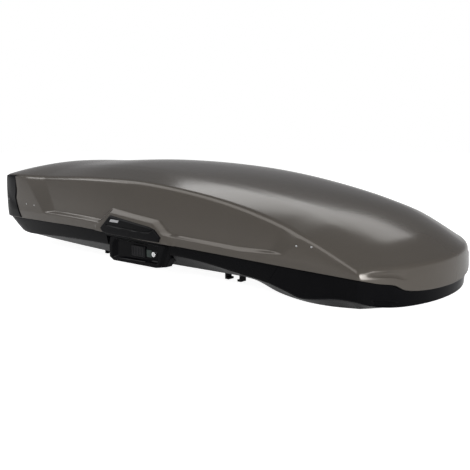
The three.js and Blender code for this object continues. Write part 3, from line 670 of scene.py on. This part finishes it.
def liner_place(s, v, ring):
    s, v = round(s, 4), round(v, 5)
    if ring == 0:
        return lid_crown(s, v * 0.985, LINER_WALL)
    f = (0.93, 0.8, 0.66, 0.52, 0.42, 0.34, 0.27, 0.2, 0.12, 0.06)[ring - 1]
    place = lid_side(s, v, f, LINER_WALL)
    if abs(v) == 1:
        rise = place.z - PART_Z - part_height(s)
        place.y -= v * (deepest(place.x, rise) - relief(place.x, rise))
    return place


liner = skin([*spread(-952, 844, 22), 844], CROSSES[::3] + [1], 10, liner_place)
piece_from("lid_liner", liner, "lid", LINER)

# %% [markdown]
# ## Lofts
# Trims, skirts and housings are bands with one closed section that changes along their way.
# `create_circle` gives the first section, its edges are extruded once for each station, and
# every station then gets its own points. The two ends are filled, or joined where the band
# runs all the way round.


# %% Loft builder
def loft(sections, closed=False):
    """A band through closed sections, which are lists of points of equal length."""
    bm = bmesh.new()
    count = len(sections[0])
    index = bm.verts.layers.int.new("index")
    bmesh.ops.create_circle(bm, segments=count, radius=1)
    for number, vert in enumerate(bm.verts):
        vert[index] = number
        vert.co = sections[0][number] * MM
    first = edges = list(bm.edges)
    for section in sections[1:]:
        made = bmesh.ops.extrude_edge_only(bm, edges=edges)["geom"]
        fresh = {v for v in made if isinstance(v, bmesh.types.BMVert)}
        for vert in fresh:
            vert.co = section[vert[index]] * MM
        edges = [e for e in made if isinstance(e, bmesh.types.BMEdge)
                 and all(v in fresh for v in e.verts)]
    if closed:
        bmesh.ops.bridge_loops(bm, edges=first + edges)
    else:
        bmesh.ops.contextual_create(bm, geom=first)
        bmesh.ops.contextual_create(bm, geom=edges)
    return bm


def at_nose_corner(co):
    return abs(co.y) > 0.29 and co.x > 0.82


# %% [markdown]
# ## Skirts
# The base wears piano-black skirts in four pieces: one on each side, one round the nose and one
# round the tail. Each has a rounded lip along its top and a fold along its foot. The front
# seams lean, as on the real mouldings, and the rear ones are upright.


# %% Skirt surface
SKIRT_INSET = 6
FACE = [(0.0, 3.0), (0.0, 1.6), (0.012, 0.4), (0.045, 0), (0.2, -0.4), (0.4, -0.7),
        (0.6, -0.7), (0.8, -0.4), (0.955, 0), (0.985, 0.5), (1.0, 1.8), (1.0, 3.0),
        (0.75, 3.0), (0.5, 3.0), (0.25, 3.0)]


def base_side(s, v, deep, inset):
    """A place on the base's side, deep below the parting line and inset from the lid's rim."""
    front = s > NOSE_S - 0.01
    top = part_z(s, v) - 1
    level = PART_Z + part_height(s)
    z = low = level - 1 - deep
    drop = 1 - abs(v) ** 6
    if front:
        share = min(1, deep / skirt_depth(s))
        z = min(top - (top - low) * share, top + (low * (1 - drop) + 12 * drop - top) * share)
    inset += 0.2 * (level - z) * (1 - 0.75 * drop if front else 1)
    rake = TAIL_RAKE + inset - 0.2 * deep + 1.45 * deep
    return Vector((plan_x(s, v, rake, 8 - inset), v * (half_width(s) - inset), z))


def skirt_point(s, v, q, inset):
    head = base_side(s, v, 0.5, SKIRT_INSET + inset)
    foot = base_side(s, v, skirt_depth(s), SKIRT_INSET + inset)
    return head.lerp(foot, q)


print("nose skirt foot", [round(c) for c in skirt_point(844, 0, 1, 0)])

# %% Side skirts
SEAM_TOP, SEAM_LEAN = 598, 50
REAR_SEAM = -769.6
LOCK_HEAD = 116
LOCK_REAR, LOCK_FRONT = -149, 169
SIDES = (("near", -1), ("far", 1))


def seam_s(q):
    return SEAM_TOP - SEAM_LEAN * q


def skirt_section(rear, front, u, side, lift=0):
    """A section at u between the rear and front lines, which are functions of q."""
    points = []
    for q, inset in FACE:
        s = rear(q) + (front(q) - rear(q)) * u
        head = base_side(s, side, 0.5, SKIRT_INSET + inset)
        depth = PART_Z + part_height(s) - 1 - LOCK_HEAD if lift else skirt_depth(s)
        points.append(head.lerp(base_side(s, side, depth, SKIRT_INSET + inset), q))
    return points


for side_name, side in SIDES:
    stretches = [(lambda q: REAR_SEAM, lambda q: LOCK_REAR, 40, 0),
                 (lambda q: LOCK_REAR, lambda q: LOCK_FRONT, 12, 1),
                 (lambda q: LOCK_FRONT, seam_s, 40, 0)]
    bm = loft([skirt_section(rear, front, k / count, side, lift)
               for rear, front, count, lift in stretches for k in range(count + 1)])
    piece_from(f"skirt_panel_{side_name}", bm, "base", PIANO,
               [f"skirt_{side_name}"])

# %% [markdown]
# The nose skirt carries a wedge-shaped vent at each front corner, low on the face. It is a
# pocket pressed into the same band.


# %% Nose and tail skirts
NOSE_VS = [-1, -0.988, -0.975, -0.96, *[-0.945 + 0.015 * k for k in range(26)], -0.54, -0.5,
           -0.42, -0.34, -0.26, -0.17, -0.08]
NOSE_VS = [*NOSE_VS, 0, *[-v for v in reversed(NOSE_VS)]]


def vent(v, q):
    along = (abs(v) - 0.62) / 0.28
    if not 0 < along < 1:
        return 0
    depth = min(ease((1 - along) * 4, 0.2), ease(along * 1.6, 0.2))
    return 7 * depth * ease((q - 0.72) / 0.05, 0.3) * ease((0.965 - q) / 0.03, 0.3)


NOSE_FACE = [*FACE[:7], *[(0.68 + 0.02 * k, -0.5) for k in range(14)], *FACE[8:]]


def nose_section(s, v, u=None, side=0):
    points = []
    for q, inset in NOSE_FACE:
        here = s if u is None else seam_s(q) + 0.8 + (NOSE_S - seam_s(q) - 0.8) * u
        cut = vent(v, q) if u is None and inset < 0.6 else 0
        points.append(skirt_point(here, v if u is None else side, q, inset + cut))
    return points


SIDE_STEPS = [k / 26 for k in range(24)] + [0.93, 0.95, 0.965, 0.98, 0.99]
sections = [nose_section(0, 0, u, -1) for u in SIDE_STEPS]
sections += [nose_section(NOSE_S, v) for v in NOSE_VS]
sections += [nose_section(0, 0, u, 1) for u in reversed(SIDE_STEPS)]
bm = loft(sections)
soften_corners(bm, at_nose_corner, 1)
piece_from("nose_panel", bm, "base", PIANO, ["nose_skirt"])

TAIL_SS = [-770.4 - 182 * k / 16 for k in range(17)]
TAIL_VS = [v for v in NOSE_VS if abs(v) < 0.995]
sections = [[skirt_point(s, 1, q, t) for q, t in FACE] for s in TAIL_SS]
sections += [[skirt_point(TAIL_S, v, q, t) for q, t in FACE] for v in reversed(TAIL_VS)]
sections += [[skirt_point(s, -1, q, t) for q, t in FACE] for s in reversed(TAIL_SS)]
bm = loft(sections)
piece_from("tail_panel", bm, "base", PIANO, ["tail_skirt"])

# %% [markdown]
# ## Tail cover
# A black cap wraps the tail of the lid from the rim to the ridge. Its front edge runs in a
# zigzag on each side. Its section is a thin wall with rounded edges, set on the lid's surface.

# %% Tail cover
COVER_EDGE = [(2, -746), (84, -805), (117, -804), (173, -838)]
COVER_FACE = [(0.015, 0.2), (0.012, -1.6), (0.03, -2.6), *[(0.07 + 0.045 * k, -2.8)
              for k in range(19)], (0.93, -2.6), (0.965, -2.0), (0.985, -0.6), (0.97, 0.2),
              (0.5, 0.6)]


def cover_edge_s(f, side):
    """Where along the side the cover's front edge lies, at height fraction f."""
    s = -800
    for _ in range(6):
        point = lid_side(s, side, f, 0)
        rise = point.z - PART_Z - part_height(s)
        s += between(COVER_EDGE, rise) - point.x if rise < 173 else 0
        s = min(s, -740)
    return s


def cover_section(u, side):
    """u goes from 0 on the front edge to 1 at the tail's corner."""
    points = []
    for f, out in COVER_FACE:
        edge = cover_edge_s(f, side)
        sunk = 2.2 * max(0, 1 - u / 0.03) if out < -1 else 0
        points.append(lid_side(edge + (TAIL_S - edge) * u, side, f, out + sunk))
    return points


STEPS = [0, 0.012, 0.03, *[0.06 + 0.06 * k for k in range(15)], 0.95, 0.975]
sections = [cover_section(u, 1) for u in STEPS]
sections += [[lid_side(TAIL_S, v, f, t) for f, t in COVER_FACE] for v in
             [-v for v in NOSE_VS]]
sections += [cover_section(u, -1) for u in reversed(STEPS)]
bm = loft(sections)
piece_from("tail_cap", bm, "lid", PIANO, ["tail_cover"])

# %% [markdown]
# ## Tub
# The tub is one vacuum-formed sheet: a flat floor, a chamfer up to the skirts, an upright wall
# and a chin that drops below the nose. It is two skins, outside and inside, that meet at the
# rim. Where the locks stand, the sheet is pressed in behind them.

# %% Tub
TUB_INSET, TUB_WALL = 10.4, 3.5
CHAMFER, FLOOR_RAKE = 62, 66
LOCK_WALL_Y, LOCK_WALL_FOOT = 352, 58     # the wall pressed in behind the locks
CHIN_Z = [(430, 42), (480, 37), (560, 14), (650, 2.4), (740, 0.4), (844, 6)]
chin_z = curve(CHIN_Z)


def floor_edge(s, v, wall):
    """The tub's floor at (s, v), raised by the wall."""
    inset = CHAMFER + 0.6 * wall
    level = chin_z(s) if s > CHIN_Z[0][0] else CHIN_Z[0][1]
    return Vector((plan_x(s, v, TAIL_RAKE + FLOOR_RAKE + inset, 36 - inset),
                   v * (half_width(s) - inset), level + wall))


def tub_place(s, v, ring, wall):
    s, v = round(s, 4), round(v, 5)
    edge = floor_edge(s, v, wall)
    if ring == 0:
        return edge
    foot = base_side(s, v, skirt_depth(s), TUB_INSET + wall)
    head = base_side(s, v, 0.5, TUB_INSET + wall)
    if ring <= 6:
        place = edge.lerp(foot, (0.04, 0.25, 0.45, 0.62, 0.78, 0.95)[ring - 1])
    elif ring <= 12:
        place = foot.lerp(head, (0.03, 0.25, 0.5, 0.7, 0.78, 0.86)[ring - 7])
    else:
        return head if ring == 13 else base_side(s, v, 0.5, TUB_INSET + TUB_WALL)
    if LOCK_REAR < s < LOCK_FRONT and abs(v) == 1 and LOCK_WALL_FOOT < place.z < LOCK_HEAD:
        place.y = v * min(abs(place.y), LOCK_WALL_Y - wall)
    return place


TUB_COLUMNS = [*spread(-952, -640, 13), *spread(-640, LOCK_REAR, 26), LOCK_REAR, LOCK_REAR + 1,
               *spread(LOCK_REAR + 20, LOCK_FRONT - 1, 30), LOCK_FRONT - 1, LOCK_FRONT,
               *spread(190, 420, 26), *spread(420, 844, 8), 844]
TUB_CROSSES = CROSSES[::2]
tub = skin(TUB_COLUMNS, TUB_CROSSES, 14, lambda s, v, ring: tub_place(s, v, ring, 0))
soften_corners(tub, at_nose_corner, 4)
piece_from("tub_skin", tub, "base", TUB, ["base_tub", "tub_floor"])
lining = skin(TUB_COLUMNS, TUB_CROSSES, 13, lambda s, v, ring: tub_place(s, v, ring, TUB_WALL))
soften_corners(lining, at_nose_corner, 4)
bmesh.ops.recalc_face_normals(lining, faces=lining.faces)
bmesh.ops.reverse_faces(lining, faces=lining.faces)
piece_from("tub_lining", lining, "base", TUB, turn=False)

# %% [markdown]
# ## Rim seal
# A hollow rubber bulb runs round the tub's rim and the lid presses on it. It is a closed loft
# with a round section.

# %% Rim seal
SEAL_INSET = 7.8
SEAL_SECTION = [(0, 0.4), (-0.1, 1.8), (0.5, 3.2), (1.7, 3.95), (3.3, 3.95), (4.5, 3.2),
                (5.1, 1.8), (5, 0.4), (3.8, -0.55), (1.2, -0.55)]
walk = [(s, -1) for s in TUB_COLUMNS] + [(NOSE_S, v) for v in NOSE_VS[1:]]
walk += [(s, 1) for s in reversed(TUB_COLUMNS[:-1])]
walk += [(TAIL_S, v) for v in reversed(NOSE_VS[1:-1])]


def seal_point(s, v, across, rise):
    inset = SEAL_INSET + across
    return Vector((plan_x(s, v, TAIL_RAKE + inset, 8 - inset), v * (half_width(s) - inset),
                   part_z(s, v) + rise))


bm = loft([[seal_point(s, v, *corner) for corner in SEAL_SECTION] for s, v in walk], closed=True)
piece_from("rim_bulb", bm, "base", RUBBER, ["rim_seal"], crease=60)

# %% [markdown]
# ## Handles
# Each side has a long wing of satin black plastic, fixed to the lid's raised surround. Its
# outline is a low trapezoid with slanted ends, its edges are rounded, and a finger groove runs
# along it. It is a grid over the outline, lifted off the lid's plain surface.

# %% Handles
HANDLE_HEAD = [(-166, 20), (-114, 68), (85, 49), (115, 42), (144, 19)]
HANDLE_FOOT = [(-166, 20), (-150, 6), (-120, 2.5), (138, 2.5), (144, 19)]
GROOVE = [(-132, 34), (60, 29), (92, 31), (112, 41)]


def on_side(x, h, side, out=0):
    """The place of the lid's side at length x and height h above the parting line."""
    s = x
    for _ in range(6):
        rim = part_z(s, side) + 1
        f = (PART_Z + h - rim) / (PART_Z + ridge_height(s) - rim)
        place = lid_side(s, side, f, 0)
        s += x - place.x
    return place + Vector((0, side * out, 0))


def plain_side(x, h, side, out):
    """The same place on the plain surface, before the relief."""
    rise = h - part_height(x)
    f = (rise - 1) / (ridge_height(x) - part_height(x) - 1)
    y = half_width(x) - max(LEAN * rise, 0) + 12 * f * (1 - f)
    return Vector((x, side * (y + out), PART_Z + h))


def dome(t):
    """A quarter round from 0 to 1."""
    t = min(max(t, 0), 1)
    return math.sqrt(1 - (1 - t) ** 2)


def handle_out(x, h):
    head, foot = between(HANDLE_HEAD, x) - h, h - between(HANDLE_FOOT, x)
    edge = min(head * (0.73 if x < -114 else 0.95), foot * 0.9 + 0.6,
               (x + 166) * 0.55 + 1, (144 - x) * 0.55 + 1)
    groove = max(0, 1 - abs(h - between(GROOVE, x)) / 3.2) if -128 < x < 112 else 0
    return 6.0 + 5.8 * dome(edge / 5) - 3.4 * dome(groove)


def handle_place(side):
    def place(x, w, ring):
        head, foot = between(HANDLE_HEAD, x), between(HANDLE_FOOT, x)
        h = foot + (head - foot) * w
        out = handle_out(x, h) if ring == 0 else (5.0, 3.0, -1.0)[ring - 1]
        return plain_side(x, h, side, out)
    return place


HANDLE_XS = [*spread(-165.6, -110, 2.2), *spread(-110, 108, 3.2), *spread(108, 143.7, 2), 143.7]
HANDLE_WS = [0, 0.02, 0.05, 0.09, *[0.13 + 0.026 * k for k in range(29)], 0.91, 0.95, 0.98, 1]
for side_name, side in SIDES:
    bm = skin(HANDLE_XS, HANDLE_WS, 3, handle_place(side), close=True)
    piece_from(f"handle_wing_{side_name}", bm, "lid", SATIN,
               [f"handle_{side_name}"], crease=48)

# %% [markdown]
# A small plain plate, in pale satin metal, is let into the wing's rear end. Round rivets hold
# the lid's inner fittings. Each rivet is a flattened ball, half sunk in the sheet.

# %% Plates and rivets


def plate_place(side):
    def place(x, h, ring):
        shear = x - 0.7 * (52 - h)
        edge = min(x + 106, -60 - x, h - 46.5, 55.5 - h)
        out = 11.9 + 0.9 * dome(edge / 1.2) if ring == 0 else 10.5
        return plain_side(shear, h, side, out)
    return place


for side_name, side in SIDES:
    bm = skin([-106, -105.5, -105, *spread(-104, -62, 3), -62, -61, -60.5, -60],
              [46.5, 46.9, 47.5, 49, 51, 53, 54.5, 55.1, 55.5], 1, plate_place(side), close=True)
    piece_from(f"plain_plate_{side_name}", bm, "lid", SATIN_METAL)

RIVETS = [(-707, 56), (-642, 56), (660, 50), (706, 52), (-880, 60)]
for side_name, side in SIDES:
    bm = bmesh.new()
    for x, h in RIVETS:
        made = bmesh.ops.create_uvsphere(bm, u_segments=20, v_segments=10, radius=0.0030)
        bmesh.ops.scale(bm, verts=made["verts"], vec=(1, 0.5, 1))
        out = 2.8 if x < -800 else 0
        bmesh.ops.translate(bm, verts=made["verts"], vec=on_side(x, h, side, out) * MM)
    piece_from(f"rivets_{side_name}", bm, "lid", ZINC)

# %% [markdown]
# ## Locks
# Under each handle stands a black lock housing. Its face has a shallow pocket with a wide
# slanted rear flank, and the slider, a small window and the key cylinder sit in the pocket. The
# face is a grid whose depth is one function, like the side of the lid.

# %% Lock housings
LOCK_FACE = 386
LOCK_FOOT = [(-148, 38), (-126, 27), (100, 32), (146, 40), (168, 72)]
LOCK_TOP = 115


def pocket(x, z):
    return min(ease((x + 131) / 22, 0.1), ease((z - 41 - 0.03 * (x + 78)) / 7, 0.2),
               ease((112 - x) / 6, 0.2), ease((108 - z) / 4, 0.2),
               ease(((x + 131) * 0.75 + (108 - z) * 0.66 - 16) / 9, 0.2))


def lock_place(side):
    def place(x, w, ring):
        foot = between(LOCK_FOOT, x)
        z = foot + (LOCK_TOP - foot) * w
        edge = min(x + 148, 168 - x, (z - foot) * 0.8, LOCK_TOP - z)
        flank = 5 * ease((x + 0.45 * (115 - z) - 152) / 14, 0.2)
        y = LOCK_FACE - 3 + 3 * dome(edge / 3) - 10 * pocket(x, z) - flank
        return Vector((x, side * (y if ring == 0 else (378, 362, 354)[ring - 1]), z))
    return place


LOCK_XS = [-148, -147.5, -146.8, -145.6, *spread(-144, -104, 2.2), *spread(-104, 100, 7),
           *spread(100, 164, 2.2), 166, 167.2, 168]
LOCK_WS = [0, 0.006, 0.016, 0.03, *[0.05 + 0.03 * k for k in range(7)], 0.32, 0.45, 0.58, 0.7,
           *[0.76 + 0.025 * k for k in range(9)], 0.985, 0.994, 1]
for side_name, side in SIDES:
    bm = skin(LOCK_XS, LOCK_WS, 3, lock_place(side), close=True)
    piece_from(f"lock_body_{side_name}", bm, "base", PIANO,
               [f"lock_housing_{side_name}"])


# %% Sliders, windows and keys
SLIDER = (-26, 40, 58, 96)


def slider_place(side):
    def place(x, z, ring):
        x0, x1, z0, z1 = SLIDER
        edge = min(x - x0, x1 - x, z - z0, z1 - z)
        ribs = max(0, math.sin((x - x0) / 66 * math.pi * 9)) if 5 < edge else 0
        dish = dome(min((x - x0 - 6) / 10, (x1 - 6 - x) / 10, (z - z0 - 5) / 8, (z1 - 5 - z) / 8))
        y = 380.4 + 3.4 * dome(edge / 3) - 1.8 * dish + 0.8 * ribs
        return Vector((x, side * (y if ring == 0 else 376.4), z))
    return place


def window_place(side):
    def place(x, z, ring):
        edge = min(x - 46, 74 - x, z - 62, 88 - z)
        return Vector((x, side * (376.6 + 1.4 * dome(edge / 1.5) if ring == 0 else 374), z))
    return place


def window_glow(place):
    dust = noise(place, 300, 2.0)
    return {"Base Color": tint(dust, (0.004, 0.010, 0.008), (0.008, 0.022, 0.016)),
            "Roughness": 0.08 + dust * 0.1}


WINDOW = finish("lock_window", {"Specular IOR Level": 0.4}, window_glow)
for side_name, side in SIDES:
    bm = skin([*spread(-26, 40, 1.2), 40], [58, 58.5, 59.2, 60.4, *spread(62, 92, 2), 92, 93.6,
              94.8, 95.5, 96], 1, slider_place(side), close=True)
    piece_from(f"slider_pad_{side_name}", bm, f"slider_{side_name}", MOULDED,
               [f"lock_slider_{side_name}"])
    bm = skin([46, 46.5, 47.2, 48, 60, 72, 72.8, 73.5, 74],
              [62, 62.5, 63.2, 64, 75, 86, 86.8, 87.5, 88], 1, window_place(side), close=True)
    piece_from(f"lock_window_{side_name}", bm, "base", WINDOW)

# %% [markdown]
# ## Mat
# A sheet of grey felt lies on the floor. It is a grid with rounded corners, a little uneven as
# laid felt is, with a pressed edge. Solidify would double its faces, so the rings give its
# thickness.

# %% Felt mat
MAT_X, MAT_HALF, MAT_LEVEL, MAT_CORNER = (-510, 395), 228, 45.8, 40


def mat_place(x, y, ring):
    x0, x1 = MAT_X
    over_x = max(x0 + MAT_CORNER - x, x - x1 + MAT_CORNER, 0)
    over_y = max(abs(y) - MAT_HALF + MAT_CORNER, 0)
    reach = math.hypot(over_x, over_y)
    if reach > MAT_CORNER:
        most = max(over_x, over_y)
        pull = most / reach
        x += (1 - pull) * over_x * (1 if x < 0 else -1)
        y += (1 - pull) * over_y * (1 if y < 0 else -1)
    edge = min(x - x0, x1 - x, MAT_HALF - abs(y))
    wave = 0.5 * math.sin(x / 83) * math.sin(y / 61 + x / 190) * min(edge / 60, 1)
    top = 2.2 + 1.4 * dome(edge / 9) + wave
    return Vector((x, y, MAT_LEVEL + (top, 0.9, 0)[ring]))


bm = skin([-510, -508.5, -506, -502, *spread(-497, 382, 9), 382, 387, 391, 393.5, 395],
          [-228, -226.5, -224, -220, *spread(-215, 215, 9), 215, 220, 224, 226.5, 228], 2,
          mat_place, close=True)
mat = piece_from("felt_mat", bm, "base", FELT, ["floor_mat"], crease=60)

# %% [markdown]
# ## Fittings
# The rods, arms, brackets, clamps and bars have the right shape in the CAD. Each gets a copy
# whose doubles are merged and whose flat faces are rejoined, and a Bevel modifier rounds the
# edges as a mould or a press would.

# %% Softened fittings
BODY_OF = {node: body for body, nodes in frame["record"]["behaviour"]["bodies"].items()
           for node in nodes}


def softened(node, material, width):
    bm = bmesh.new()
    bm.from_mesh(frame["nodes"][node].data)
    bmesh.ops.remove_doubles(bm, verts=bm.verts, dist=1e-5)
    bmesh.ops.dissolve_limit(bm, angle_limit=math.radians(1), verts=bm.verts, edges=bm.edges)
    piece = piece_from(f"{node}_finished", bm, BODY_OF[node], material, [node])
    rounding = piece.modifiers.new("rounding", "BEVEL")
    rounding.width = width * MM
    rounding.segments = 2
    rounding.limit_method = "ANGLE"
    rounding.angle_limit = math.radians(40)
    rounding.harden_normals = True


FITTINGS = [("hinge_cradle", MOULDED, "moulding_black", 0.8),
            ("lid_hanger", MOULDED, "moulding_black", 0.8),
            ("hinge_rod", ZINC, "steel", 0.6),
            ("lifter_lower_arm", ZINC, "steel", 0.7),
            ("lifter_upper_arm", ZINC, "steel", 0.7),
            ("lifter_base_bracket", MOULDED, "moulding_black", 0.9),
            ("lifter_lid_bracket", MOULDED, "moulding_black", 0.9),
            ("clamp_housing", MOULDED, "moulding_black", 2.0),
            ("clamp_knob", RED, "knob_red", 1.4),
            ("clamp_jaw", MOULDED, "moulding_black", 1.2),
            ("lock_bar", ZINC, "steel", 0.5),
            ("key_cylinder", CHROME, "chrome", 0.4),
            ("lid_rib", MOULDED, "moulding_black", 1.5)]
for node in sorted(BODY_OF):
    for start, material, slot, width in FITTINGS:
        if node.startswith(start):
            softened(node, material, width)
